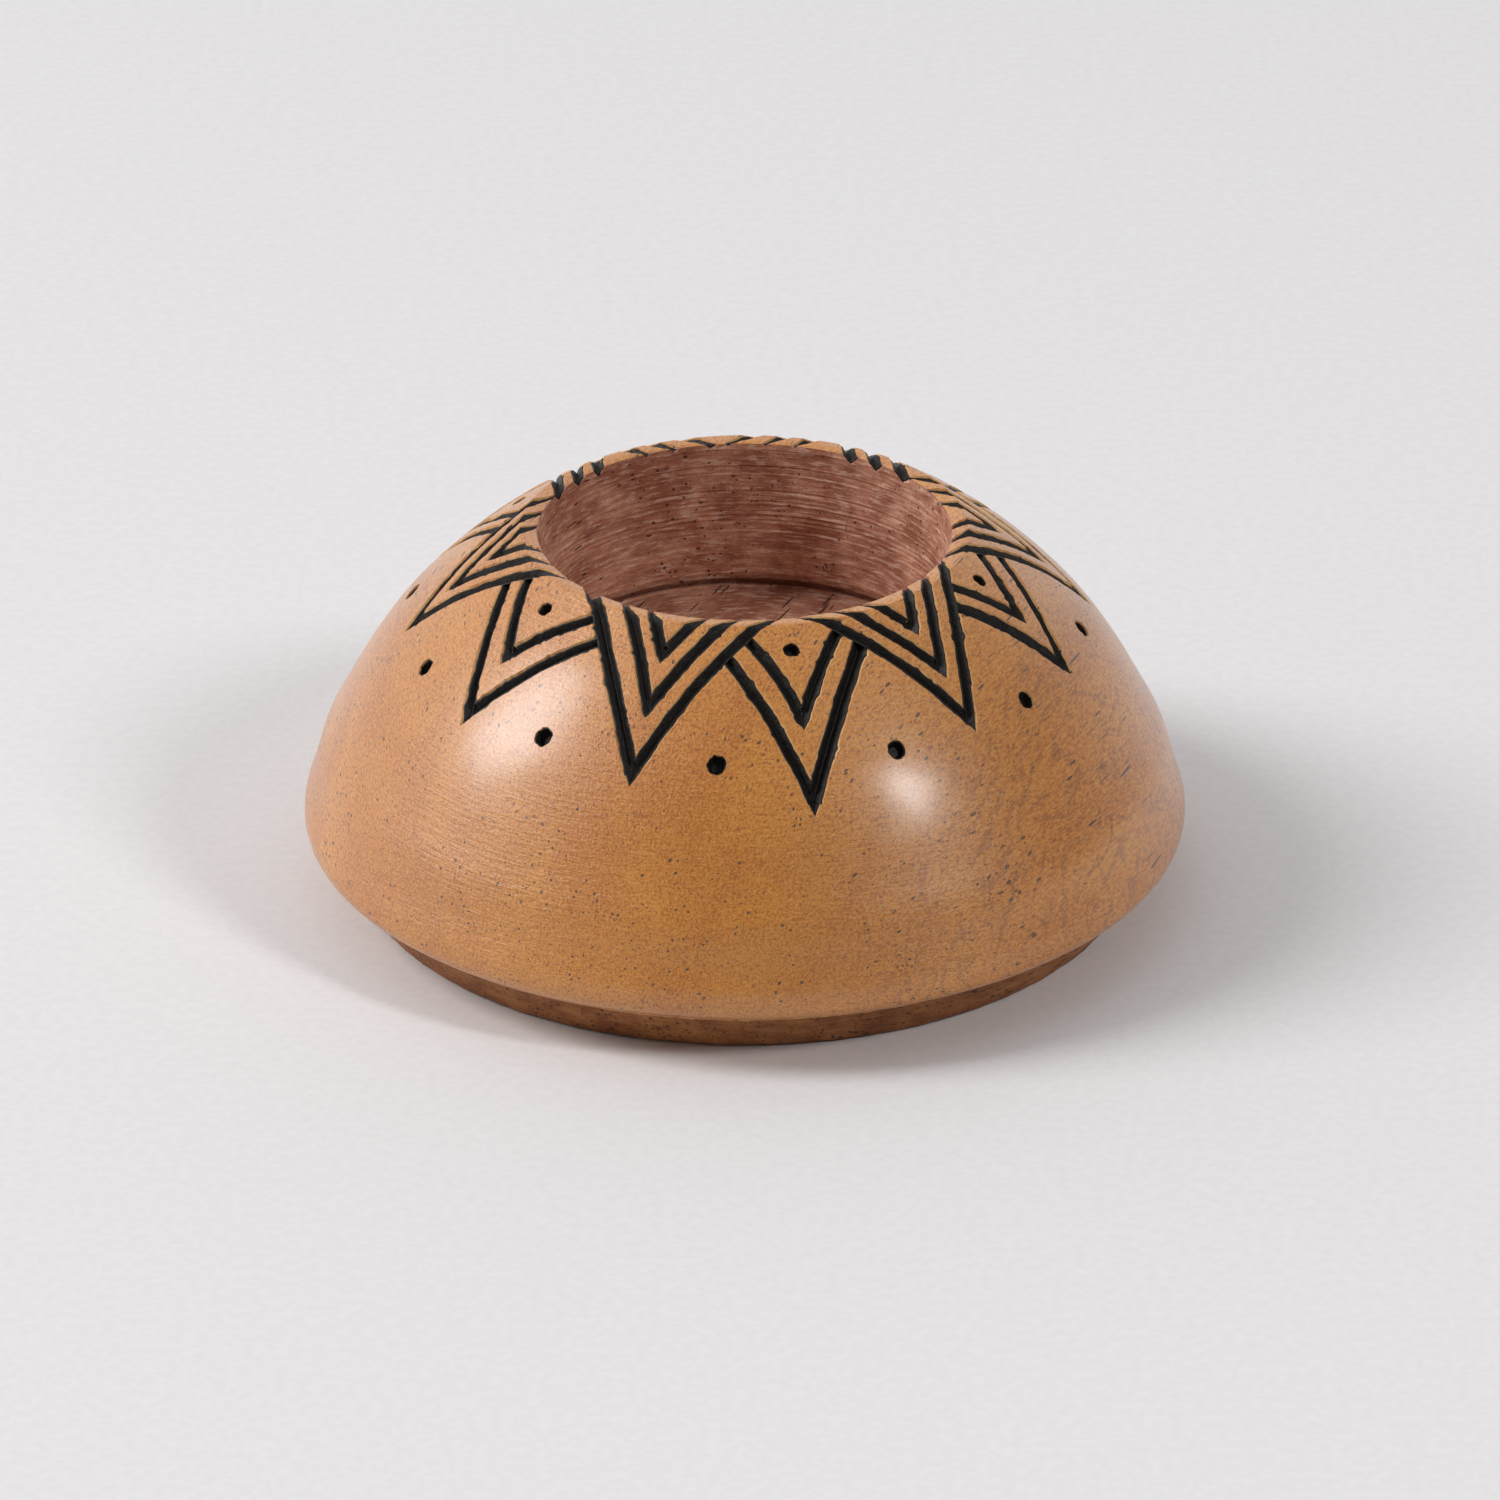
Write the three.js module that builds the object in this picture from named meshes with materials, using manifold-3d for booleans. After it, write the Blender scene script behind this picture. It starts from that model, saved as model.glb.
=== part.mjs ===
// Carved wooden tea-light bowl: one turned block of hardwood, a squat dome with a shallow round well,
// with gouged chevrons and drilled dots round its shoulder, each one lined with black paint.
// Millimetres, +Z up. The origin is on the table, in the middle of the foot; the front is -Y.
import * as THREE from "three";
import { mergeVertices } from "three/addons/utils/BufferGeometryUtils.js";
import Module from "manifold-3d";

const wasm = await Module();
wasm.setup();
const { Manifold, Mesh } = wasm;

// ---------------------------------------------------------------- driving dimensions
const BOWL_DIAMETER = 90; // across the belly, the widest place
const BOWL_HEIGHT = 38.2; // table to the outer edge of the land round the mouth
const FOOT_DIAMETER = 78.4; // the flat underside
const FOOT_EDGE_DIAMETER = 83.8; // the crisp edge where the bare foot band meets the waxed belly
const FOOT_BAND_HEIGHT = 4.4; // the bare band slopes out from the underside to that edge
const FOOT_CHAMFER = 0.5; // broken edge round the underside
const WELL_DIAMETER = 41.8; // straight-walled well for the candle cup
const WELL_DEPTH = 16.4; // mouth edge to well floor
const LAND_WIDTH = 1.7; // narrow ring left between the mouth and the shoulder
const LAND_DROP = 0.2; // the land leans in this much towards the mouth
const GROOVE_WIDTH = 1.5; // across a gouged groove, at the surface
const GROOVE_DEPTH = 0.95; // its keel below the surface
const POINT_LENGTH = 0.9; // the two arms of a chevron cross this far short of its sharp point, in plan
const DEPTH_AT_MOUTH = 0.6; // share of the depth left where a stroke leaves over the mouth edge
const DEPTH_AT_MEETING = 0.7; // and where a narrow chevron's arm runs into a wide one
const BIG_DOT_DIAMETER = 2.1; // drilled dots in the gaps below the chevrons
const SMALL_DOT_DIAMETER = 1.7; // drilled dots inside the narrow chevrons
const DOT_DEPTH = 1.2;
const DOT_TAPER = 0.8; // the bottom of a drilled dot, as a share of its mouth
const PAINT_THICKNESS = 0.2; // dried paint lining each groove and dot
const PAINT_GAP = 0.08; // the paint is modelled this far off the wood
const PAINT_SHY = 0.06; // and stops this far below the waxed surface
const PAINT_POOL = 2.3; // the point of a chevron is filled solid with paint this far along its arms

// The six wide chevrons, set out by eye: bearing from the front (degrees, + towards +X),
// and how far down the shoulder the point reaches (0 at the land, 1 at the belly).
const WIDE = [
  { bearing: -84.4, reach: 0.54 },
  { bearing: -18.3, reach: 0.61 },
  { bearing: 41.5, reach: 0.54 },
  { bearing: 99.7, reach: 0.6 },
  { bearing: 157.3, reach: 0.57 },
  { bearing: 216.8, reach: 0.57 },
];
// Each narrow chevron fills the gap after the wide one with the same number.
const NARROW = [
  { bearing: -52.2, reach: 0.59 },
  { bearing: 10.6, reach: 0.675 },
  { bearing: 69.6, reach: 0.56 },
  { bearing: 128.5, reach: 0.62 },
  { bearing: 187, reach: 0.62 },
  { bearing: 246.2, reach: 0.62 },
];
const WIDE_NESTS = [
  { depth: 1, spread: 24.5 }, // share of the reach; half angle at the middle of the land, degrees
  { depth: 0.645, spread: 15 },
  { depth: 0.31, spread: 7 },
];
const RUN_OUT = 3.2; // a stroke over the mouth is carried this far past the middle of the land
const NARROW_NESTS = [
  { depth: 1, meets: 0.74 }, // share of the reach; where its arms meet the wide chevron's outer arms
  { depth: 0.62, meets: 0.9 },
];
const BIG_DOT_REACH = 0.52; // down the shoulder
const BIG_DOT_SHARE = 0.255; // either side of the narrow chevron, as a share of the gap's step
const SMALL_DOT_REACH = 0.113;

// How finely the shapes are faceted.
const SIDES = 64; // round the turning
const SHOULDER_STATIONS = 20; // up its shoulder
const PAINT_SIDES = 48; // the same two for the skin that trims the paint
const PAINT_STATIONS = 11;
const DOT_SIDES = 16;
const STROKE_STEP = 4; // length each stroke is swept in
const FINE_STATIONS = 440; // up the shoulder, where heights are looked up
const MERGE = 1e-5; // corners closer than this are one

// How a stroke is cut.
const FADE_FROM = 0.6; // an arm starts to run shallower at this share of its length
const POINT_ENTRY = -0.05; // the short point starts just off the wood, as a share of the full depth
const POINT_DIVE = 2.1; // and dives this many full depths over its length
const TOOL_REACH = 1.1; // the tool's angle is the wood's slope over this far either side
const TOOL_STANDS = 1.6; // the tool shape stands this far above the wood
const ROLL_START = 0.4; // a stroke starts to roll over the land this far outside it
const ROLL_FIRST = 0.1; // and the roll counts only between these shares of its length
const ROLL_LAST = 0.97;
const TANGENT_STEP = 0.01; // share of a stroke over which its direction is taken

// Stations of the turner's template, from just above the foot edge up to the land:
// radius (0 at the land, 1 at the belly) and height (0 at the foot edge, 1 at the land).
const TEMPLATE = [
  [0.98, 0.05],
  [1, 0.11],
  [0.96, 0.2],
  [0.91, 0.31],
  [0.84, 0.4],
  [0.73, 0.53],
  [0.6, 0.655],
  [0.45, 0.765],
  [0.29, 0.864],
  [0.15, 0.935],
  [0, 1],
];
const ABOVE_BELLY = 0.12; // heights over this share of the shoulder face up

// ---------------------------------------------------------------- turned shape
const BELLY_R = BOWL_DIAMETER / 2;
const WELL_R = WELL_DIAMETER / 2;
const LAND_R = WELL_R + LAND_WIDTH;
const MOUTH_Z = BOWL_HEIGHT - LAND_DROP;
const FLOOR_Z = MOUTH_Z - WELL_DEPTH;

const V2 = (x, y) => new THREE.Vector2(x, y);
const shoulderRadius = (share) => LAND_R + (BELLY_R - LAND_R) * share;
const shoulderHeight = (share) => FOOT_BAND_HEIGHT + (BOWL_HEIGHT - FOOT_BAND_HEIGHT) * share;

const shoulder = new THREE.SplineCurve([
  V2(FOOT_EDGE_DIAMETER / 2, FOOT_BAND_HEIGHT),
  ...TEMPLATE.map(([u, v]) => V2(shoulderRadius(u), shoulderHeight(v))),
]);

// The height of the upper surface at a distance rho from the axis.
const upper = shoulder.getPoints(FINE_STATIONS).filter((p) => p.y > shoulderHeight(ABOVE_BELLY));
function surfaceHeight(rho) {
  if (rho <= LAND_R) return BOWL_HEIGHT - (LAND_DROP * (LAND_R - rho)) / LAND_WIDTH;
  for (let i = upper.length - 1; i > 0; i--) {
    const a = upper[i];
    const b = upper[i - 1];
    if (rho <= b.x) return a.y + ((b.y - a.y) * (rho - a.x)) / (b.x - a.x);
  }
  return upper[0].y;
}
// A tool held square to the wood: the normal, rolled smoothly over the edge of the land.
function toolNormal(x, y) {
  const rho = Math.hypot(x, y);
  const rise = surfaceHeight(rho + TOOL_REACH) - surfaceHeight(rho - TOOL_REACH);
  const slope = rise / (2 * TOOL_REACH);
  const n = new THREE.Vector3((-slope * x) / rho, (-slope * y) / rho, 1);
  return n.normalize();
}
const surfacePoint = (x, y) => new THREE.Vector3(x, y, surfaceHeight(Math.hypot(x, y)));
const atBearing = (degrees, rho) => {
  const a = THREE.MathUtils.degToRad(degrees);
  return V2(rho * Math.sin(a), -rho * Math.cos(a));
};

// ---------------------------------------------------------------- solids
function solid(geometry) {
  geometry.deleteAttribute("normal");
  geometry.deleteAttribute("uv");
  const g = mergeVertices(geometry, MERGE);
  const made = new Manifold(
    new Mesh({
      numProp: 3,
      vertProperties: new Float32Array(g.attributes.position.array),
      triVerts: new Uint32Array(g.index.array),
    }),
  );
  if (made.volume() < 0) throw new Error("a tool shape is inside out");
  return made;
}
const turned = (outline, sides) =>
  solid(new THREE.LatheGeometry(outline, sides).rotateX(Math.PI / 2));

// The outline of the turning, with the skin taken in by `shy` and the well opened by it.
function outline(shy, stations) {
  const footR = FOOT_DIAMETER / 2;
  const bandSlope = (FOOT_EDGE_DIAMETER - FOOT_DIAMETER) / 2 / FOOT_BAND_HEIGHT;
  const shoulderPoints = shoulder.getPoints(stations);
  const edge = shoulderPoints.map((p, i) => {
    const q = shoulderPoints[Math.min(i + 1, shoulderPoints.length - 1)];
    const o = shoulderPoints[Math.max(i - 1, 0)];
    const n = V2(q.y - o.y, o.x - q.x).normalize();
    return V2(p.x - n.x * shy, p.y - n.y * shy);
  });
  edge[edge.length - 1].set(LAND_R, BOWL_HEIGHT - shy);
  return [
    V2(0, 0),
    V2(footR - FOOT_CHAMFER, 0),
    V2(footR + bandSlope * FOOT_CHAMFER, FOOT_CHAMFER),
    ...edge,
    V2(WELL_R + shy, MOUTH_Z - shy),
    V2(WELL_R + shy, FLOOR_Z),
    V2(0, FLOOR_Z),
  ];
}

// The share of the way from `from` to `to` at which a line comes in to `radius` from the axis.
function shareAtRadius(from, to, radius) {
  const d = to.clone().sub(from);
  const b = from.dot(d);
  const a = d.lengthSq();
  const root = b * b - a * (from.lengthSq() - radius ** 2);
  return root > 0 ? (-b - Math.sqrt(root)) / a : 1;
}

// Stations along a stroke from `from` to `to`, as shares of it: even steps, up to where it
// rolls over the edge of the land if it does, and two more from there to its end.
function stationsAlong(from, to) {
  const over = shareAtRadius(from, to, LAND_R + ROLL_START);
  const roll = over > ROLL_FIRST && over < ROLL_LAST ? over : 1;
  const even = Math.max(2, Math.round((from.distanceTo(to) * roll) / STROKE_STEP));
  const stations = Array.from({ length: even + 1 }, (_, i) => (i * roll) / even);
  return roll < 1 ? [...stations, (1 + roll) / 2, 1] : stations;
}

// The path of the gouge's keel from share t0 to share t1 of a stroke that is straight as seen
// from above. The keel runs under the surface, lifted by `lift` off the stroke's full depth.
class KeelPath extends THREE.Curve {
  constructor(stroke, lift, t0, t1) {
    super();
    Object.assign(this, stroke, { lift });
    const between = stationsAlong(stroke.from, stroke.to).filter(
      (t) => t > t0 + 1e-3 && t < t1 - 1e-3,
    );
    this.stations = [t0, ...between, t1];
  }
  place(t) {
    const p = this.from.clone().lerp(this.to, t);
    return { p: surfacePoint(p.x, p.y), n: toolNormal(p.x, p.y) };
  }
  getPoint(t) {
    const { p, n } = this.place(t);
    return p.addScaledVector(n, this.lift - this.depthAt(t));
  }
  getSpacedPoints() {
    return this.stations.map((t) => this.getPoint(t));
  }
  computeFrenetFrames() {
    const frames = { tangents: [], normals: [], binormals: [] };
    this.stations.forEach((t) => {
      const ahead = this.place(t + TANGENT_STEP).p;
      const behind = this.place(t - TANGENT_STEP).p;
      const along = ahead.sub(behind).normalize();
      const b = new THREE.Vector3().crossVectors(along, this.place(t).n).normalize();
      frames.tangents.push(along);
      frames.binormals.push(b);
      frames.normals.push(new THREE.Vector3().crossVectors(b, along).normalize());
    });
    return frames;
  }
}

const TAN = GROOVE_WIDTH / 2 / GROOVE_DEPTH;
const SIN = TAN / Math.hypot(1, TAN);
const HIGH = GROOVE_DEPTH + TOOL_STANDS;
// The V of the gouge: keel at 0,0, opening along the tool normal.
const vee = () => new THREE.Shape([V2(0, 0), V2(HIGH, HIGH * TAN), V2(HIGH, -HIGH * TAN)]);

// One stroke cut as a solid, starting `late` along it and stopping `early`.
function strokeSolid(stroke, lift, late, early) {
  const length = stroke.from.distanceTo(stroke.to);
  const path = new KeelPath(stroke, lift, late / length, 1 - early / length);
  return solid(
    new THREE.ExtrudeGeometry(vee(), {
      steps: path.stations.length - 1,
      bevelEnabled: false,
      extrudePath: path,
    }),
  );
}

// The strokes of one chevron: its two arms, and the short point where they cross.
function chevron(tip, ends, endShare) {
  const inward = tip.clone().normalize().negate();
  const crossing = tip.clone().addScaledVector(inward, POINT_LENGTH);
  const arms = ends.map((to) => ({
    from: crossing,
    to,
    depthAt: (t) => {
      const faded = Math.max(0, (t - FADE_FROM) / (1 - FADE_FROM));
      return GROOVE_DEPTH * (1 - (1 - endShare) * faded);
    },
  }));
  const point = {
    from: tip,
    to: crossing.clone().addScaledVector(inward, POINT_LENGTH),
    depthAt: (t) => GROOVE_DEPTH * Math.min(1, POINT_ENTRY + POINT_DIVE * t),
  };
  return { arms, point };
}

// The point on a wide chevron's outer arm, `share` of the way from its tip to the land.
function pointOnArm(arm, share) {
  const whole = shareAtRadius(arm.from, arm.to, LAND_R);
  return arm.from.clone().lerp(arm.to, whole * share);
}

const chevrons = []; // { name, arms, point, and which motif and nest it is }
const dots = []; // { name, bearing, rho, radius }

WIDE.forEach(({ bearing, reach }, i) => {
  WIDE_NESTS.forEach(({ depth, spread }, k) => {
    const tip = atBearing(bearing, shoulderRadius(reach * depth));
    const ends = [-spread, spread].map((s) => {
      const over = atBearing(bearing + s, WELL_R + LAND_WIDTH / 2);
      return over.addScaledVector(over.clone().sub(tip).normalize(), RUN_OUT);
    });
    chevrons.push({
      name: `paint_wide_${i + 1}_${["outer", "middle", "inner"][k]}`,
      ...chevron(tip, ends, DEPTH_AT_MOUTH),
      wide: i,
      nest: k,
    });
  });
});
const outerWide = (i) => chevrons.find((c) => c.wide === i && c.nest === 0);
WIDE.forEach((wide, i) => {
  const next = WIDE[(i + 1) % WIDE.length];
  const step = THREE.MathUtils.euclideanModulo(next.bearing - wide.bearing, 360);
  const { bearing: middle, reach } = NARROW[i];
  const leftArm = outerWide(i).arms[1];
  const rightArm = outerWide((i + 1) % WIDE.length).arms[0];
  NARROW_NESTS.forEach(({ depth, meets }, k) => {
    const tip = atBearing(middle, shoulderRadius(reach * depth));
    const ends = [pointOnArm(leftArm, meets), pointOnArm(rightArm, meets)];
    chevrons.push({
      name: `paint_narrow_${i + 1}_${["outer", "inner"][k]}`,
      ...chevron(tip, ends, DEPTH_AT_MEETING),
      narrow: i,
      nest: k,
    });
  });
  dots.push({
    name: `paint_small_dot_${i + 1}`,
    bearing: middle,
    rho: shoulderRadius(SMALL_DOT_REACH),
    radius: SMALL_DOT_DIAMETER / 2,
  });
  [-BIG_DOT_SHARE, BIG_DOT_SHARE].forEach((share, k) =>
    dots.push({
      name: `paint_big_dot_${2 * i + k + 1}`,
      bearing: middle + step * share,
      rho: shoulderRadius(BIG_DOT_REACH),
      radius: BIG_DOT_DIAMETER / 2,
    }),
  );
});

// A drilled pit, square to the surface, with `shy` taken off its wall and floor.
function pit(dot, shy) {
  const q = atBearing(dot.bearing, dot.rho);
  const n = toolNormal(q.x, q.y);
  const depth = DOT_DEPTH - shy;
  const above = 1;
  const r = dot.radius - shy;
  const upright = new THREE.Quaternion().setFromUnitVectors(new THREE.Vector3(0, 1, 0), n);
  const p = surfacePoint(q.x, q.y);
  return solid(
    new THREE.CylinderGeometry(r, r * DOT_TAPER, depth + above, DOT_SIDES)
      .translate(0, (above - depth) / 2, 0)
      .applyQuaternion(upright)
      .translate(p.x, p.y, p.z),
  );
}

const armPair = (c, lift, late, early) =>
  strokeSolid(c.arms[0], lift, late, early).add(strokeSolid(c.arms[1], lift, late, early));
const wholeCut = (c, lift, clear) =>
  armPair(c, lift, clear, clear).add(strokeSolid(c.point, lift, clear, clear));
const liftOf = (gap) => gap / SIN;

// ---------------------------------------------------------------- assembly
const part = new THREE.Group();
part.name = "carved_tealight_bowl";

function addNode(name, made, material) {
  const m = made.getMesh();
  const v = new Float32Array(m.numVert * 3);
  for (let i = 0; i < m.numVert; i++)
    v.set(m.vertProperties.subarray(i * m.numProp, i * m.numProp + 3), i * 3);
  const g = new THREE.BufferGeometry()
    .setAttribute("position", new THREE.BufferAttribute(v, 3))
    .setIndex(new THREE.BufferAttribute(new Uint32Array(m.triVerts), 1));
  g.computeVertexNormals();
  const mesh = new THREE.Mesh(g, material);
  mesh.name = name;
  part.add(mesh);
}

const wood = new THREE.MeshStandardMaterial({ color: 0xc98d45, roughness: 0.45 });
const paint = new THREE.MeshStandardMaterial({ color: 0x1c1a19, roughness: 0.6 });

const cuts = new Map(chevrons.map((c) => [c, wholeCut(c, 0, 0)]));
const block = turned(outline(0, SHOULDER_STATIONS), SIDES);
const tools = [...cuts.values(), ...dots.map((d) => pit(d, 0))];
addNode("bowl_body", block.subtract(Manifold.union(tools)), wood);

// The chevrons that a film gives way to. A narrow one's arms run into the wide ones, and a wide
// one's outer arm can meet the arm of the wide one before it at the mouth edge.
function givesWayTo(c) {
  if (c.narrow !== undefined) return WIDE.map((_, i) => outerWide(i));
  const before = (c.wide + WIDE.length - 1) % WIDE.length;
  return c.nest === 0 ? [outerWide(before)] : [];
}

// Paint stays inside the skin of the wood and out of the well.
const limit = turned(outline(PAINT_SHY, PAINT_STATIONS), PAINT_SIDES);
for (const c of chevrons) {
  let film = wholeCut(c, liftOf(PAINT_GAP), 2 * PAINT_GAP)
    .intersect(limit)
    .subtract(armPair(c, liftOf(PAINT_GAP + PAINT_THICKNESS), PAINT_POOL, 0));
  for (const other of givesWayTo(c)) film = film.subtract(cuts.get(other));
  addNode(c.name, film, paint);
}
for (const d of dots) {
  const cup = pit(d, PAINT_GAP)
    .intersect(limit)
    .subtract(pit(d, PAINT_GAP + PAINT_THICKNESS));
  addNode(d.name, cup, paint);
}

export default part;
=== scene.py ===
# %% [markdown]
# # A carved candle bowl
# One block of tropical hardwood is turned to a squat dome with a shallow round well. Its shoulder is
# gouged with chevrons and drilled with dots, and each cut is lined with black paint. This lesson builds
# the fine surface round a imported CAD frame: the turning first, then the cuts, then the paint in them,
# and last the finishes, the paper it stands on and the light.

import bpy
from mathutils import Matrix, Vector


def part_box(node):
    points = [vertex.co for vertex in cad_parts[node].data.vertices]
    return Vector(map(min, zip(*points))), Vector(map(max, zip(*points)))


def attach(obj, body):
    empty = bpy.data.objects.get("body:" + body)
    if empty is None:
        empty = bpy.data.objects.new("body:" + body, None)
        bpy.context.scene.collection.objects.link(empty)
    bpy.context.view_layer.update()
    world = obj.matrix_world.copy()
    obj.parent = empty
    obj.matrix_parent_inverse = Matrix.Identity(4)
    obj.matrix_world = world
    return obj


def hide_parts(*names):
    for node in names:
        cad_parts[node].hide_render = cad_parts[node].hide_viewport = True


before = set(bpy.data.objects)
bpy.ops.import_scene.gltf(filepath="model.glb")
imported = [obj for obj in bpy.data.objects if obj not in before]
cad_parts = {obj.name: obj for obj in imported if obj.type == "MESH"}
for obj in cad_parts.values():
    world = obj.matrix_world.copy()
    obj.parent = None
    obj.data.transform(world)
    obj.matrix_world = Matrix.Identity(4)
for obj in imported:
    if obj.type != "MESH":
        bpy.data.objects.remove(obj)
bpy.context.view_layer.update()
MM = 0.001  # a millimetre, in Blender's metres

# %% The tools of the lesson
import math
import random
from dataclasses import dataclass

import bmesh
import bpy
import numpy as np
from mathutils import Matrix, Vector, noise

scene = bpy.context.scene

# %% [markdown]
# ## Sizes
# The bowl is worked in millimetres, as a turner would, and each finished piece is brought to metres at
# the end. The numbers are those of the CAD frame, and the next cell prints two of them beside it.

# %% Sizes of the turning, in millimetres
BELLY_R = 45.0
BOWL_HEIGHT = 38.2
FOOT_R = 39.2
FOOT_EDGE_R = 41.9
FOOT_BAND = 4.4
WELL_R = 20.9
WELL_DEPTH = 16.4
LAND_WIDTH = 1.7
LAND_DROP = 0.2
LAND_R = WELL_R + LAND_WIDTH
MOUTH_Z = BOWL_HEIGHT - LAND_DROP
FLOOR_Z = MOUTH_Z - WELL_DEPTH

_, body_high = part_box("bowl_body")
print("belly radius in the frame", round(body_high.x / MM, 2), "here", BELLY_R)
print("height in the frame", round(body_high.z / MM, 2), "here", BOWL_HEIGHT)

# %% [markdown]
# ## The turner's template
# The outside is one flowing curve, from the crisp foot edge over the belly and up to the land, the
# narrow ring round the mouth. A turner checks it against a card template with a few marks. A curve
# through the same few marks, each pulled by its neighbours, gives every point in between.

# %% The curve of the shoulder
# A mark's radius is 0 at the land and 1 at the belly, its height 0 at the foot edge and 1 at the land.
TEMPLATE = [
    (0.98, 0.05),
    (1, 0.11),
    (0.96, 0.2),
    (0.91, 0.31),
    (0.84, 0.4),
    (0.73, 0.53),
    (0.6, 0.655),
    (0.45, 0.765),
    (0.29, 0.864),
    (0.15, 0.935),
    (0, 1),
]
CURVE_STEPS = 400
BELLY_UP = 0.12  # above this share of the height the curve only comes in


def template_marks():
    marks = [Vector((FOOT_EDGE_R, FOOT_BAND))]
    for out, up in TEMPLATE:
        radius = LAND_R + (BELLY_R - LAND_R) * out
        marks.append(Vector((radius, FOOT_BAND + (BOWL_HEIGHT - FOOT_BAND) * up)))
    return marks


def flowing_curve(marks, steps):
    """Points along a smooth curve through the marks."""
    points = []
    last = len(marks) - 1
    for i in range(steps + 1):
        at = i / steps * last
        k = min(int(at), last - 1)
        t = at - k
        a, b, c, d = (marks[min(max(j, 0), last)] for j in range(k - 1, k + 3))
        pull_b, pull_c = (c - a) / 2, (d - b) / 2
        bend = (2 * b - 2 * c + pull_b + pull_c) * t**3
        bend += (-3 * b + 3 * c - 2 * pull_b - pull_c) * t**2
        points.append(bend + pull_b * t + b)
    return points


shoulder = flowing_curve(template_marks(), CURVE_STEPS)
above_belly = [p for p in shoulder if p.y > FOOT_BAND + BELLY_UP * (BOWL_HEIGHT - FOOT_BAND)]
print("the shoulder falls", round(BOWL_HEIGHT - above_belly[0].y, 1), "mm from land to belly")

# %% [markdown]
# The gouge and the drill are held square to the wood, so the cuts need the height of the skin at any
# place, and the direction that stands square to it. Over the sharp edge of the land the tool rolls
# smoothly, because its own width spans the edge.

# %% The skin and the tool held square to it
TOOL_REACH = 1.1  # how far to either side the tool feels the skin


def skin_height(rho):
    if rho <= LAND_R:
        return BOWL_HEIGHT - LAND_DROP * (LAND_R - rho) / LAND_WIDTH
    return float(np.interp(-rho, [-p.x for p in above_belly], [p.y for p in above_belly]))


def square_to_skin(x, y):
    """The place on the skin over x, y, and the tool's direction there."""
    rho = math.hypot(x, y)
    slope = (skin_height(rho + TOOL_REACH) - skin_height(rho - TOOL_REACH)) / (2 * TOOL_REACH)
    place = Vector((x, y, skin_height(rho)))
    return place, Vector((-slope * x / rho, -slope * y / rho, 1)).normalized()


def at_bearing(degrees, rho):
    """A place in plan: the bearing runs from the front, -Y, towards +X."""
    a = math.radians(degrees)
    return Vector((rho * math.sin(a), -rho * math.cos(a)))


# %% [markdown]
# ## The turned block
# A lathe makes a shape by spinning the work past a tool. Blender's spin operator does the same: a
# chain of points and edges, the half outline, is swept a full turn about the axis and its two ends are
# merged. The waxed outside needs only enough rings for a clean curve. The well is different: a scraper
# left torn rings of uneven pitch on its wall and floor, so their ridges are in the outline itself.

# %% The half outline, with the scraper's rings in the well
LATHE_SEED = 11
TURN_SIDES = 300
SHOULDER_ROWS = 58
BAND_ROWS = 6
UNDERSIDE_RING = 20
RING_PITCH = (0.34, 0.8)
RING_HEIGHT = 0.085
VALLEY = (0.0, 0.35)  # shares of the ring height
RIDGE = (0.2, 1.0)
WALL_RINGS = (0.3, WELL_DEPTH - 0.5)  # from and to, down from the mouth
FLOOR_RINGS = (0.6, WELL_R - 1)  # from and to, in from the wall
FLOOR_RING_SHARE = 0.5  # of the height of the wall's
CORNER_TEAR = 0.45
# Where the outline is rounded or broken: steps outwards and upwards from the true corner.
UNDER_EDGE = [(-0.5, 0), (-0.35, 0.04), (0.2, 0.35)]
BAND_EDGE = [(-0.08, -0.12), (0.02, -0.02)]
LAND_EDGE = [(0.12, -0.05), (-0.05, -0.005)]
MOUTH_EDGE = [(0.12, 0.01), (0.02, -0.05)]
WELL_CORNER = [(CORNER_TEAR, 0.35), (CORNER_TEAR * 0.7, -0.05)]


def scraped_rings(rng, start, stop):
    """Places between start and stop, and how far each stands off the cut, valley after ridge."""
    rings = []
    at = start
    while at < stop - RING_PITCH[1]:
        rings.append((at, rng.uniform(*VALLEY) * RING_HEIGHT))
        at += rng.uniform(*RING_PITCH) / 2
        rings.append((at, -rng.uniform(*RIDGE) * RING_HEIGHT))
        at += rng.uniform(*RING_PITCH) / 2
    return rings


def around_corner(radius, height, steps):
    return [(radius + out, height + up) for out, up in steps]


def half_outline(shoulder_rows, rng):
    outline = [(0, 0), (UNDERSIDE_RING, 0)] + around_corner(FOOT_R, 0, UNDER_EDGE)
    out, up = UNDER_EDGE[-1]
    for k in range(1, BAND_ROWS):
        radius = FOOT_R + out + (FOOT_EDGE_R - FOOT_R - out) * k / BAND_ROWS
        outline.append((radius, up + (FOOT_BAND - up) * k / BAND_ROWS))
    outline += around_corner(FOOT_EDGE_R, FOOT_BAND, BAND_EDGE)
    outline += [tuple(p) for p in flowing_curve(template_marks(), shoulder_rows)[1:-1]]
    outline += around_corner(LAND_R, BOWL_HEIGHT, LAND_EDGE)
    outline += [(LAND_R - LAND_WIDTH / 2, BOWL_HEIGHT - LAND_DROP / 2)]
    outline += around_corner(WELL_R, MOUTH_Z, MOUTH_EDGE)
    for down, off in scraped_rings(rng, *WALL_RINGS):
        outline.append((WELL_R + off, MOUTH_Z - down))
    outline += around_corner(WELL_R, FLOOR_Z, WELL_CORNER)
    for inwards, off in scraped_rings(rng, *FLOOR_RINGS):
        outline.append((WELL_R - inwards, FLOOR_Z + FLOOR_RING_SHARE * off))
    return outline + [(0, FLOOR_Z)]


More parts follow.
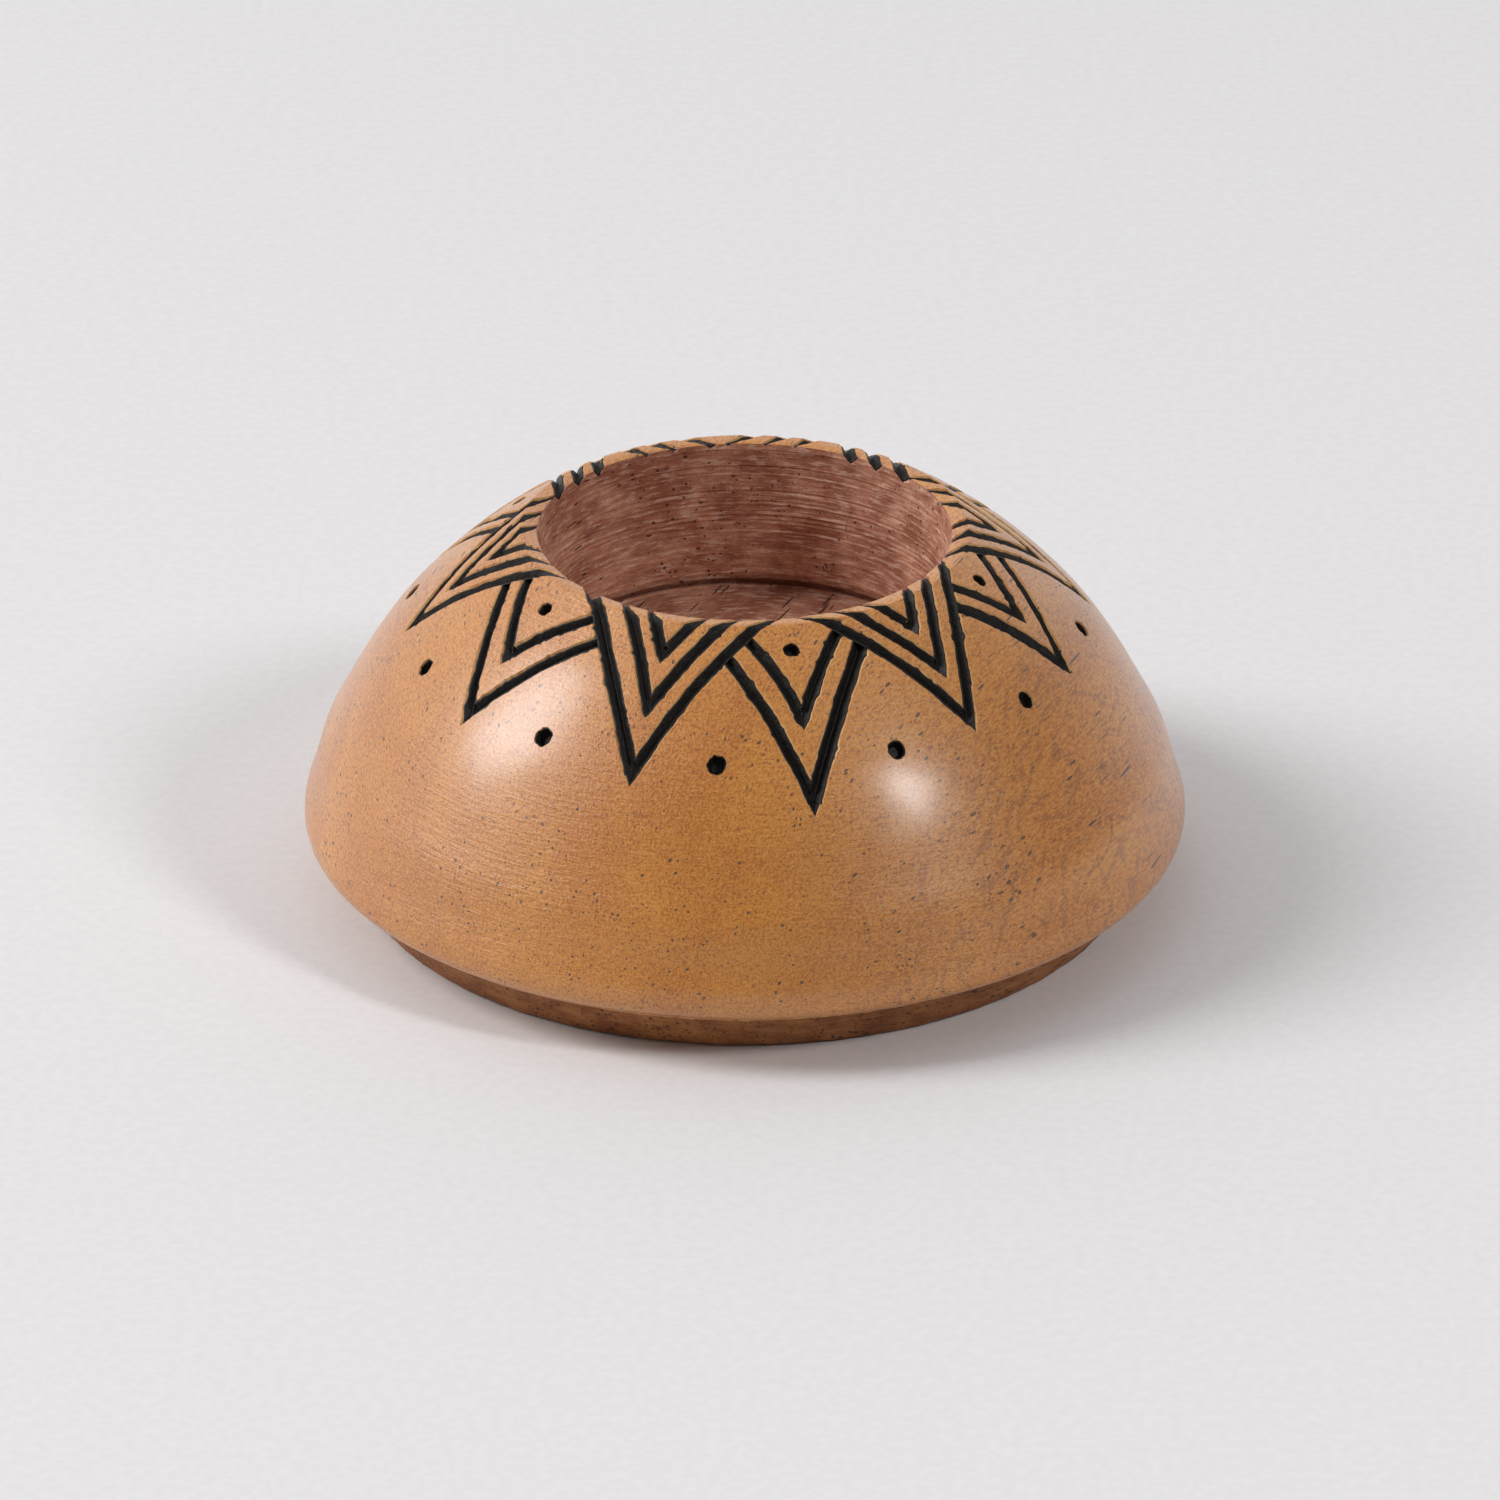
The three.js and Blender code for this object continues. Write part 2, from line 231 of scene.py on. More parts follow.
# %% [markdown]
# The work is never quite round. Sanding by hand leaves hollows a few hundredths of a millimetre deep,
# which break up the highlights, and the foot edge and the mouth are worn unevenly. Smooth noise, read
# at each point's place, moves the skin by that much. The finished block stays inside the CAD frame.

# %% Spinning the block
WELD = 1e-4
SANDED_AWAY = 0.05
# Hollows: how close together, how deep, and where in the noise they are read.
BROAD_HOLLOWS = (0.09, 0.045, Vector((3.1, 0.4, 7.7)))
CLOSE_HOLLOWS = (0.4, 0.014, Vector((8.3, 2.9, 1.2)))
FOOT_WEAR = 0.09
FOOT_WEAR_PITCH = 0.7
WELL_WEAR = 0.03
WELL_WEAR_PITCH = 0.5
LAND_KEPT = 0.2  # the wear reaches this far over the land
FOOT_KEPT = 0.1  # the foot stands flat up to here
WALL_NEAR, FLOOR_NEAR = 0.5, 0.1  # what counts as the well's wall


def hollow(co, pitch, depth, start):
    return depth * noise.noise(co * pitch + start)


def hand_sanded(co):
    """How far the sanded skin strays from true at a place, in millimetres."""
    return -SANDED_AWAY + hollow(co, *BROAD_HOLLOWS) + hollow(co, *CLOSE_HOLLOWS)


def spun(outline, sides):
    bm = bmesh.new()
    chain = [bm.verts.new((radius, 0, height)) for radius, height in outline]
    edges = [bm.edges.new(pair) for pair in zip(chain, chain[1:])]
    bmesh.ops.spin(
        bm, geom=chain + edges, cent=(0, 0, 0), axis=(0, 0, 1), angle=2 * math.pi,
        steps=sides, use_merge=True,
    )
    bmesh.ops.remove_doubles(bm, verts=bm.verts, dist=WELD)
    bmesh.ops.recalc_face_normals(bm, faces=bm.faces)
    return bm


def wear_by_hand(bm):
    bm.normal_update()
    moves = []
    for v in bm.verts:
        rho = math.hypot(v.co.x, v.co.y)
        if rho > LAND_R - LAND_KEPT and v.co.z > FOOT_BAND:
            moves.append((v, v.normal * hand_sanded(v.co)))
        elif rho > FOOT_R and v.co.z > FOOT_KEPT:
            wear = FOOT_WEAR * noise.noise(v.co * FOOT_WEAR_PITCH) - SANDED_AWAY
            moves.append((v, v.normal * wear))
        elif rho > WELL_R - WALL_NEAR and v.co.z > FLOOR_Z - FLOOR_NEAR:
            moves.append((v, v.normal * WELL_WEAR * noise.noise(v.co * WELL_WEAR_PITCH)))
    for v, move in moves:
        v.co += move


def as_piece(bm, name):
    mesh = bpy.data.meshes.new(name)
    bm.to_mesh(mesh)
    bm.free()
    piece = bpy.data.objects.new(name, mesh)
    scene.collection.objects.link(piece)
    return piece


block_bm = spun(half_outline(SHOULDER_ROWS, random.Random(LATHE_SEED)), TURN_SIDES)
wear_by_hand(block_bm)
block = as_piece(block_bm, "turned_block")
print("the turned block has", len(block.data.polygons), "faces")

# %% [markdown]
# ## Setting out the carving
# Six wide chevrons, each of three nested V cuts, stand round the shoulder with their points down. A
# narrow one of two cuts fills each gap, with a small dot between its arms, and two larger dots lie
# below each gap. They were spaced by eye, so the bearings are a short list and not a sixth of a turn.

# %% The bearings and reaches of the chevrons
# A chevron: the bearing of its point, and its reach, 0 at the land and 1 at the belly.
WIDE = [(-84.4, 0.54), (-18.3, 0.61), (41.5, 0.54), (99.7, 0.6), (157.3, 0.57), (216.8, 0.57)]
NARROW = [(-52.2, 0.59), (10.6, 0.675), (69.6, 0.56), (128.5, 0.62), (187, 0.62), (246.2, 0.62)]
# A wide chevron's cuts: the share of its reach, and the spread of each arm at the land, in degrees.
WIDE_NESTS = {"outer": (1, 24.5), "middle": (0.645, 15), "inner": (0.31, 7)}
# A narrow chevron's cuts: the share of its reach, and how far up the wide arms they end.
NARROW_NESTS = {"outer": (1, 0.74), "inner": (0.62, 0.9)}
GROOVE_WIDTH = 1.5
GROOVE_DEPTH = 0.95
POINT_LENGTH = 0.9  # from the tip to where the arms cross
RUN_OUT = 3.2  # how far a wide arm goes on past the middle of the land
# A dot: its radius and its reach.
BIG_DOT = (1.05, 0.52)
SMALL_DOT = (0.85, 0.113)
BIG_DOT_SHARE = 0.255  # how far it is beside the narrow chevron, as a share of the wide ones' step
DOT_DEPTH = 1.2


def reach_radius(reach):
    return LAND_R + (BELLY_R - LAND_R) * reach


@dataclass
class Arm:
    """One pull of the gouge, straight as seen from above but for a slight bow to its left."""

    start: Vector
    end: Vector
    bow: float = 0.0
    leaves: float = 0.45  # share of its depth with which it leaves over the mouth
    full: float = 1.0  # its depth, as a share of the usual one


@dataclass
class Chevron:
    name: str
    tip: Vector
    crossing: Vector
    arms: list


def chevron(name, tip, ends):
    crossing = tip - tip.normalized() * POINT_LENGTH
    return Chevron(name, tip, crossing, [Arm(crossing, end) for end in ends])


def over_the_land(tip, bearing):
    """The end of an arm that crosses the land at a bearing and runs out over the mouth."""
    over = at_bearing(bearing, WELL_R + LAND_WIDTH / 2)
    return over + (over - tip).normalized() * RUN_OUT


def point_on_arm(arm, share):
    """The place on an arm that lies a share of the way from its start to the land."""
    run = arm.end - arm.start
    a, b, c = run.dot(run), arm.start.dot(run), arm.start.dot(arm.start) - LAND_R**2
    return arm.start + run * ((-b - math.sqrt(b * b - a * c)) / a * share)


chevrons = {}
dots = []
for i, (bearing, reach) in enumerate(WIDE):
    for nest, (share, spread) in WIDE_NESTS.items():
        tip = at_bearing(bearing, reach_radius(reach * share))
        ends = [over_the_land(tip, bearing + side * spread) for side in (-1, 1)]
        name = f"paint_wide_{i + 1}_{nest}"
        chevrons[name] = chevron(name, tip, ends)
for i, (bearing, _) in enumerate(WIDE):
    after = (i + 1) % len(WIDE)
    step = (WIDE[after][0] - bearing) % 360
    middle, reach = NARROW[i]
    left = chevrons[f"paint_wide_{i + 1}_outer"].arms[1]
    right = chevrons[f"paint_wide_{after + 1}_outer"].arms[0]
    for nest, (share, meets) in NARROW_NESTS.items():
        tip = at_bearing(middle, reach_radius(reach * share))
        name = f"paint_narrow_{i + 1}_{nest}"
        chevrons[name] = chevron(name, tip, [point_on_arm(left, meets), point_on_arm(right, meets)])
    small = at_bearing(middle, reach_radius(SMALL_DOT[1]))
    dots.append((f"paint_small_dot_{i + 1}", small, SMALL_DOT[0]))
    for k, side in enumerate((-1, 1)):
        big = at_bearing(middle + side * step * BIG_DOT_SHARE, reach_radius(BIG_DOT[1]))
        dots.append((f"paint_big_dot_{2 * i + k + 1}", big, BIG_DOT[0]))
print(len(chevrons), "chevrons and", len(dots), "dots are set out")


# %% [markdown]
# No two pulls of the gouge are alike. Every arm bows a little one way or the other. The few that a
# person would notice are written down by name: a wide arm at the front that swings out and leaves
# deep, two heavy narrow arms, and the arms at the back that broke right through the mouth edge.

# %% What sets an arm apart
HAND_BOW = 0.1  # millimetres
CHARACTER = {
    ("paint_wide_2_outer", 0): {"bow": 0.35, "full": 1.15, "leaves": 0.9},
    ("paint_narrow_2_outer", 1): {"full": 1.25},
    ("paint_narrow_3_outer", 0): {"full": 1.2},
}
for nest in WIDE_NESTS:
    CHARACTER[f"paint_wide_5_{nest}", 0] = {"leaves": 0.95}
    CHARACTER[f"paint_wide_5_{nest}", 1] = {"leaves": 0.3}
    CHARACTER[f"paint_wide_6_{nest}", 1] = {"leaves": 0.85}

hand = random.Random("the carver's hand")
for mark in chevrons.values():
    for k, arm in enumerate(mark.arms):
        arm.bow = hand.gauss(0, HAND_BOW)
        for trait, value in CHARACTER.get((mark.name, k), {}).items():
            setattr(arm, trait, value)
print(len(CHARACTER), "arms have a character of their own")


# %% [markdown]
# The CAD frame has the same dots, so the distance from a dot here to the middle of its box there shows
# whether the setting out agrees. A pit is drilled square to the skin and slants inwards, so its middle
# is up to half a millimetre from its mouth, and no more than that is expected.


# %% Checking the setting out against the frame
def farthest_from_frame():
    worst = 0.0
    for name, place, _ in dots:
        low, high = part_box(name)
        middle = (low + high) / 2 / MM
        worst = max(worst, (middle.xy - place).length)
    return worst


print("the dots lie within", round(farthest_from_frame(), 2), "mm of the frame's")

# %% [markdown]
# ## The gouge cuts
# A V gouge leaves a groove whose width follows its depth, so both run out together at a point. The cut
# is swept as a solid: one section face is extruded from station to station, and each new face is laid
# to the section at its own place. Wood tears, so both edges wander a little, with a chip here and
# there. The same wander is used again for the paint, which then lies snug in its groove.

# %% How an edge tears
STATION = 0.36
TAN = GROOVE_WIDTH / 2 / GROOVE_DEPTH
WANDER = 0.035  # how far an edge strays in slow waves
WAVE_TURN = 6.3  # a wave, in radians
WAVE_STATIONS = (9, 16)  # and how many stations it takes
FRAY = 0.026  # how far it strays from one station to the next
CHIP_CHANCE = 0.08
CHIP = (0.06, 0.2)
ROLL_START = LAND_R + 0.2  # radius at which the gouge starts to roll over the land
POINT_ENTRY = 0.03  # depth at the tip, as a share
POINT_DIVE = 2.1  # how fast it grows from there


def torn_edge(rng, count):
    """How far a groove's edge strays outwards at each station, in millimetres."""
    phase, pitch = rng.uniform(0, WAVE_TURN), rng.uniform(*WAVE_STATIONS)
    stray = []
    for i in range(count):
        slow = WANDER * math.sin(phase + i * WAVE_TURN / pitch)
        chip = rng.uniform(*CHIP) if rng.random() < CHIP_CHANCE else 0
        stray.append(slow + rng.gauss(0, FRAY) + chip)
    return stray


@dataclass
class Cut:
    """A pull of the gouge, worked out: its frame, its depth and its two torn edges."""

    frames: list
    depths: list
    tears: list


def arm_depth(arm, rho):
    """The gouge keeps its depth up the shoulder, and comes up as it rolls over the land."""
    rise = min(max((ROLL_START - rho) / (ROLL_START - WELL_R), 0), 1)
    rise = rise * rise * (3 - 2 * rise)
    return GROOVE_DEPTH * arm.full * (1 - (1 - arm.leaves) * rise)


def point_depth(share):
    """At a point the gouge goes in shallow and dives to its whole depth."""
    return GROOVE_DEPTH * min(1.0, POINT_ENTRY + POINT_DIVE * share)


def work_out(start, end, bow, depth_at, seed):
    """A pull of the gouge whose depth hangs on the share of its length and the radius."""
    run = end - start
    count = max(3, round(run.length / STATION))
    sideways = Vector((-run.y, run.x)).normalized()
    rng = random.Random(seed)
    places = []
    for i in range(count + 1):
        t = i / count
        places.append(start + run * t + sideways * (4 * bow * t * (1 - t)))
    frames, depths = [], []
    for i, place in enumerate(places):
        ahead, behind = places[min(i + 1, count)], places[max(i - 1, 0)]
        along = square_to_skin(*ahead)[0] - square_to_skin(*behind)[0]
        spot, up = square_to_skin(*place)
        across = along.cross(up).normalized()
        up = across.cross(along).normalized()
        frames.append((spot + up * hand_sanded(spot), across, up))
        depths.append(depth_at(i / count, place.length))
    return Cut(frames, depths, [torn_edge(rng, count + 1) for _ in range(2)])


def cuts_of(mark):
    cuts = []
    for k, arm in enumerate(mark.arms):
        seed = f"{mark.name} {k}"
        cuts.append(work_out(arm.start, arm.end, arm.bow, lambda _, rho: arm_depth(arm, rho), seed))
    inner = mark.crossing - mark.tip.normalized() * POINT_LENGTH
    cuts.append(work_out(mark.tip, inner, 0, lambda t, _: point_depth(t), f"{mark.name} point"))
    return cuts


# %% Sweeping a section along a cut
CLEAR = 1.2  # the tool solid stands this far above the skin
FLARE = CLEAR * 0.35  # and opens by this much on its way up
THINNEST = 0.02
WHOLE_TEAR = 0.4  # a cut this deep tears by its whole amount, a shallower one by less
KEEL_FLAT = 0.05  # half the width of the keel, as a share of the rim's
WALL_AT = (0.5, 0.56)  # a place down the wall, as shares of the rim and the keel


def vee_section(cut, i, inset):
    """The section of the cut at a station, taken in by `inset` from the wood."""
    spot, across, up = cut.frames[i]
    depth = cut.depths[i]
    half = depth * TAN
    slant = math.hypot(half, depth)
    keel = -max(depth - inset * slant / half, THINNEST)
    rim = max(half - inset * slant / depth, THINNEST)
    tear_left, tear_right = (tears[i] * min(1, depth / WHOLE_TEAR) for tears in cut.tears)
    left, right = -rim - max(tear_left, -rim / 2), rim + max(tear_right, -rim / 2)
    out, down = WALL_AT
    shape = [(left - FLARE, CLEAR), (left, 0), (left * out, keel * down), (-KEEL_FLAT * rim, keel)]
    shape += [(KEEL_FLAT * rim, keel), (right * out, keel * down), (right, 0), (right + FLARE, CLEAR)]
    return [spot + across * x + up * y for x, y in shape]


def swept(sections):
    bm = bmesh.new()
    face = bm.faces.new([bm.verts.new(p) for p in sections[0]])
    for section in sections[1:]:
        face = bmesh.ops.extrude_discrete_faces(bm, faces=[face])["faces"][0]
        for corner, place in zip(face.verts, section):
            corner.co = place
    bmesh.ops.holes_fill(bm, edges=bm.edges, sides=0)
    bmesh.ops.recalc_face_normals(bm, faces=bm.faces)
    return bm


def groove_tool(cut, inset, name):
    return as_piece(swept([vee_section(cut, i, inset) for i in range(len(cut.depths))]), name)


# %% [markdown]
# ## The drilled dots
# A dot is a shallow pit with a torn rim. A circle is filled, laid square to the skin, and extruded
# down in a few steps, each ring a little smaller than the last and pushed in and out at random. The
# drill can be sent `deeper` for the paint's inside, which leaves the wood bare at the bottom.

# %% A drill's solid
PIT_POINTS = 22
PIT_STRETCH = (0.92, 1.08)
RIM_WANDER = 0.05
WALL_WANDER = 0.02
PIT_LEVELS = [(1.0, 1.06), (0.0, 1.0), (-0.35, 0.93), (-0.8, 0.86)]  # height, share of the radius
PIT_BOTTOM = 0.62  # the bottom's share of the radius


def pit_tool(name, place, radius, inset, deeper=0.0):
    rng = random.Random(name)
    spot, up = square_to_skin(*place)
    turn = up.to_track_quat("Z", "Y").to_matrix().to_4x4()
    stretch = rng.uniform(*PIT_STRETCH)
    rim = [1 + rng.gauss(0, RIM_WANDER) for _ in range(PIT_POINTS)]
    bm = bmesh.new()
    bmesh.ops.create_circle(bm, cap_ends=True, radius=1, segments=PIT_POINTS)
    face = bm.faces[:][0]
    circle = [v.co.copy() for v in face.verts]
    levels = PIT_LEVELS + [(-DOT_DEPTH + inset - deeper, PIT_BOTTOM)]
    for k, (height, share) in enumerate(levels):
        if k:
            face = bmesh.ops.extrude_discrete_faces(bm, faces=[face])["faces"][0]
        for j, (corner, direction) in enumerate(zip(face.verts, circle)):
            out = radius * share * (rim[j] + rng.gauss(0, WALL_WANDER)) - inset
            corner.co = Vector((direction.x * out * stretch, direction.y * out, height))
    bmesh.ops.holes_fill(bm, edges=bm.edges, sides=0)
    bmesh.ops.recalc_face_normals(bm, faces=bm.faces)
    bmesh.ops.transform(bm, matrix=Matrix.Translation(spot) @ turn, verts=bm.verts)
    return as_piece(bm, "drill")


# %% [markdown]
# ## Cutting
# A Boolean modifier takes one solid from another. Given a collection, it takes all of them at once,
# and overlapping tools are no trouble to it. The block is cut once by every groove and pit together.


# %% Boolean cuts, several tools at a time
def worked(piece, *steps):
    """The piece after each (operation, tools) in turn, with the tools thrown away."""
    spent = []
    for operation, tools in steps:
        rack = bpy.data.collections.new("rack")
        scene.collection.children.link(rack)
        for tool in tools:
            rack.objects.link(tool)
        cut = piece.modifiers.new("cut", "BOOLEAN")
        cut.operation = operation
        cut.solver = "MANIFOLD"
        cut.operand_type = "COLLECTION"
        cut.collection = rack
        spent.append(rack)
    ready = piece.evaluated_get(bpy.context.evaluated_depsgraph_get())
    mesh = bpy.data.meshes.new_from_object(ready)
    piece.modifiers.clear()
    old = piece.data
    piece.data = mesh
    bpy.data.meshes.remove(old)
    for rack in spent:
        bpy.data.collections.remove(rack)
    return piece


def throw_away(tools):
    for tool in tools:
        bpy.data.meshes.remove(tool.data)


cuts = {name: cuts_of(mark) for name, mark in chevrons.items()}
gouges = [groove_tool(cut, 0, "gouge") for group in cuts.values() for cut in group]
drills = [pit_tool(name, place, radius, 0) for name, place, radius in dots]
worked(block, ("DIFFERENCE", gouges + drills))
throw_away(gouges + drills)
print("after cutting the block has", len(block.data.polygons), "faces")

# %% [markdown]
# ## The paint
# The carver ran black paint into every cut, where it dried as a thin film that follows the V. A film is
# what lies between two solids: the cut taken in by a hair, and the same cut taken in by the film's
# thickness too. A copy of the block, a little smaller, trims it below the waxed skin, so a fine line of
# bare wood shows along each edge. Films are made one for each CAD node, because the paint in one
# chevron is one piece.

# %% The skin that trims the paint
PAINT_THICKNESS = 0.11
PAINT_GAP = 0.012
PAINT_SHY = (0.02, 0.3)  # the paint stops this far below the skin, least and most
SHY_PITCH = 0.8
TRIM_ROWS = 40
TRIM_SIDES = 150


def paint_shy(co):
    least, most = PAINT_SHY
    return least + (most - least) * (0.5 + 0.5 * noise.noise(co * SHY_PITCH))


def trimming_skin():
    bm = spun(half_outline(TRIM_ROWS, random.Random(LATHE_SEED)), TRIM_SIDES)
    wear_by_hand(bm)
    bm.normal_update()
    moves = [(v, v.normal * paint_shy(v.co)) for v in bm.verts]
    for v, move in moves:
        v.co -= move
    return as_piece(bm, "trimming_skin")


trim = trimming_skin()


# %% [markdown]
# A chevron's arms and point are joined, trimmed and hollowed in one set of modifiers. Where a narrow
# chevron runs into a wide one, the wide groove is taken from its film, so that no two films overlap.


# %% A film for each chevron
def paint_film(name):
    first, *others = [groove_tool(cut, PAINT_GAP, name) for cut in cuts[name]]
    inner = [groove_tool(cut, PAINT_GAP + PAINT_THICKNESS, "inner") for cut in cuts[name]]
    steps = [("UNION", others), ("INTERSECT", [trim]), ("DIFFERENCE", inner)]
    spent = others + inner
    if "narrow" in name:
        number = int(name.split("_")[2])
        beside = [f"paint_wide_{k}_outer" for k in (number, number % len(WIDE) + 1)]
        wide = [groove_tool(cut, 0, "wide") for other in beside for cut in cuts[other]]
        steps.append(("DIFFERENCE", wide))
        spent += wide
    worked(first, *steps)
    throw_away(spent)
    return first


films = {name: paint_film(name) for name in chevrons}
print(len(films), "films,", sum(len(f.data.polygons) for f in films.values()), "faces")


# %% [markdown]
# A drop of paint in a drilled dot dries as a cup: the pit taken in by a hair, less the pit taken in by
# the film's thickness. One dot was never filled to its bottom, so its inside is drilled deeper.

# %% A cup of paint for each dot, one of them with a bare bottom
BARE_BOTTOM = "paint_small_dot_1"
BARE_BY = 0.8


def paint_cup(name, place, radius):
    cup = pit_tool(name, place, radius, PAINT_GAP)
    deeper = BARE_BY if name == BARE_BOTTOM else 0.0
    inner = pit_tool(name, place, radius, PAINT_GAP + PAINT_THICKNESS, deeper)
    worked(cup, ("INTERSECT", [trim]), ("DIFFERENCE", [inner]))
    throw_away([inner])
    return cup


cups = {name: paint_cup(name, place, radius) for name, place, radius in dots}
throw_away([trim])
print(len(cups), "cups of paint")

# %% [markdown]
# ## Names, places and frame
# Every finished piece is brought from millimetres to metres in its mesh, so that its object stays at
# the origin, and it then rides on the frame's one body and stands for its CAD node. Loose crumbs that
# the cutting left are dropped first: a piece of paint is one solid.

# %% Finishing a piece
SLIVER = 2e-4
CREASE = {"wood": 28, "black_paint": 40}  # degrees past which an edge stays sharp


def largest_part_only(bm):
    """Follows the edges from point to point, and drops all but the part with the most points."""
    seen, parts = set(), []
    for v in bm.verts:
        if v in seen:
            continue
        part, front = {v}, [v]
        while front:
            for e in front.pop().link_edges:
                for w in e.verts:
                    if w not in part:
                        part.add(w)
                        front.append(w)
        seen |= part
        parts.append(part)
    crumbs = [v for part in sorted(parts, key=len)[:-1] for v in part]
    bmesh.ops.delete(bm, geom=crumbs, context="VERTS")


def finish_piece(piece, node, slot):
    bm = bmesh.new()
    bm.from_mesh(piece.data)
    bmesh.ops.dissolve_degenerate(bm, dist=SLIVER, edges=bm.edges)
    largest_part_only(bm)
    bmesh.ops.triangulate(bm, faces=[f for f in bm.faces if len(f.verts) > 4])
    bmesh.ops.scale(bm, vec=(MM, MM, MM), verts=bm.verts)
    bm.to_mesh(piece.data)
    bm.free()
    piece.name = node + "_piece"
    piece.data.name = piece.name
    piece.data.shade_smooth()
    piece.data.set_sharp_from_angle(angle=math.radians(CREASE[slot]))
    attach(piece, "root")
    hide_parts(node)


finish_piece(block, "bowl_body", "wood")
for node, piece in {**films, **cups}.items():
    finish_piece(piece, node, "black_paint")
triangles = sum(len(p.vertices) - 2 for p in block.data.polygons)
print("the bowl has", triangles, "triangles")

# %% [markdown]
# ## Finishes: the wood
# One block is one wood, so every finish reads the same grain: object coordinates in millimetres,
# turned so that the first runs along the fibres. The fibres lie level, across the block. The vessels
# of the wood are long thin tubes along them. Where the skin cuts them square they show as dots, and
# where it runs beside them as dashes, with no further work.

# %% Helpers for shader nodes
MIX_SHARE, MIX_UNDER, MIX_OVER, MIX_RESULT = 0, 6, 7, 2  # the sockets of a Mix node for colours


def shader(tree, kind, inputs=None, **settings):
    """A shader node; an input is given a value or another node's output."""
    made = tree.nodes.new("ShaderNode" + kind)
    for name, value in settings.items():
        setattr(made, name, value)
    for name, value in (inputs or {}).items():
        if isinstance(value, bpy.types.NodeSocket):
            tree.links.new(value, made.inputs[name])
        else:
            made.inputs[name].default_value = value
    return made


def worked_out(tree, operation, a, b=0.0):
    return shader(tree, "Math", {0: a, 1: b}, operation=operation).outputs[0]


def times(tree, a, b):
    return worked_out(tree, "MULTIPLY", a, b)


def relief(tree, *parts):
    """A height added up from shares and how far each is raised; less than 0 is sunk."""
    height = 0.0
    for share, raised in parts:
        height = worked_out(tree, "ADD", height, times(tree, share, raised))
    return height


def ramped(tree, value, low, high, to_low=0.0, to_high=1.0):
    """The value carried smoothly from one range to another."""
    inputs = {"Value": value, "From Min": low, "From Max": high, "To Min": to_low, "To Max": to_high}
    return shader(tree, "MapRange", inputs, interpolation_type="SMOOTHSTEP").outputs[0]


def tinted(tree, share, under, over):
    inputs = {MIX_SHARE: share, MIX_UNDER: under, MIX_OVER: over}
    return shader(tree, "Mix", inputs, data_type="RGBA").outputs[MIX_RESULT]


def stretched(tree, vector, x, y, z):
    return shader(tree, "VectorMath", {0: vector, 1: (x, y, z)}, operation="MULTIPLY").outputs[0]


def speckle(tree, vector, scale=1.0, detail=2.0, rough=0.5, bend=0.0):
    inputs = {"Vector": vector, "Scale": scale, "Detail": detail, "Roughness": rough, "Distortion": bend}
    return shader(tree, "TexNoise", inputs).outputs["Fac"]


def new_finish(name):
    finish = bpy.data.materials.new(name)
    finish.use_nodes = True
    tree = finish.node_tree
    return finish, tree, tree.nodes["Principled BSDF"]


def surfaced(tree, surface, colour, height, strength, distance, roughness, specular):
    """Gives a surface its colour, its relief, with the distance in metres, and its sheen."""
    tree.links.new(colour, surface.inputs["Base Color"])
    bump = shader(tree, "Bump", {"Strength": strength, "Distance": distance, "Height": height})
    tree.links.new(bump.outputs[0], surface.inputs["Normal"])
    surface.inputs["Roughness"].default_value = roughness
    surface.inputs["Specular IOR Level"].default_value = specular


# %% The grain shared by every cut of this block
FIBRE_BEARING = 66  # degrees in plan from +X
VESSEL_LENGTH = 14  # times its width
VESSEL_BENDS = 0.35
VESSEL_EDGE = (-0.015, 0.035)


def grain(tree):
    """Coordinates in millimetres: along the fibres, across them, and up."""
    place = shader(tree, "TexCoord").outputs["Object"]
    turn = (0, 0, math.radians(-FIBRE_BEARING))
    inputs = {"Vector": place, "Rotation": turn, "Scale": (1 / MM, 1 / MM, 1 / MM)}
    return shader(tree, "Mapping", inputs).outputs[0]


def vessels(tree, fibres, spacing, widest, share):
    """1 inside a vessel and 0 outside; only a share of the places hold one."""
    tubes = stretched(tree, fibres, 1 / VESSEL_LENGTH, 1, 1)
    bends = {"Vector": tubes, "Scale": VESSEL_BENDS, "Detail": 1.0}
    bent = shader(tree, "TexNoise", bends).outputs["Color"]
    tubes = shader(tree, "VectorMath", {0: tubes, 1: bent}, operation="ADD").outputs[0]
    cells = shader(tree, "TexVoronoi", {"Vector": tubes, "Scale": 1 / spacing, "Randomness": 1.0})
    luck = shader(tree, "SeparateColor", {0: cells.outputs["Color"]}).outputs[0]
    size = ramped(tree, luck, 1 - share, 1, 0, widest / spacing)
    inside = worked_out(tree, "SUBTRACT", size, cells.outputs["Distance"])
    return ramped(tree, inside, *VESSEL_EDGE)


def lathe_lines(tree, pitch, breaks):
    """Fine lines round the work, from 0 to 1: `pitch` in a millimetre, `breaks` in a radian."""
    place = shader(tree, "TexCoord").outputs["Object"]
    parts = shader(tree, "SeparateXYZ", {0: place}).outputs
    x2 = times(tree, parts[0], parts[0])
    y2 = times(tree, parts[1], parts[1])
    radius = worked_out(tree, "SQRT", worked_out(tree, "ADD", x2, y2))
    angle = worked_out(tree, "ARCTAN2", parts[0], parts[1])
    inputs = {
        "X": times(tree, radius, pitch / MM),
        "Y": times(tree, parts[2], pitch / MM),
        "Z": times(tree, angle, breaks),
    }
    rings = shader(tree, "CombineXYZ", inputs).outputs[0]
    return speckle(tree, rings, detail=3.0, rough=0.6)


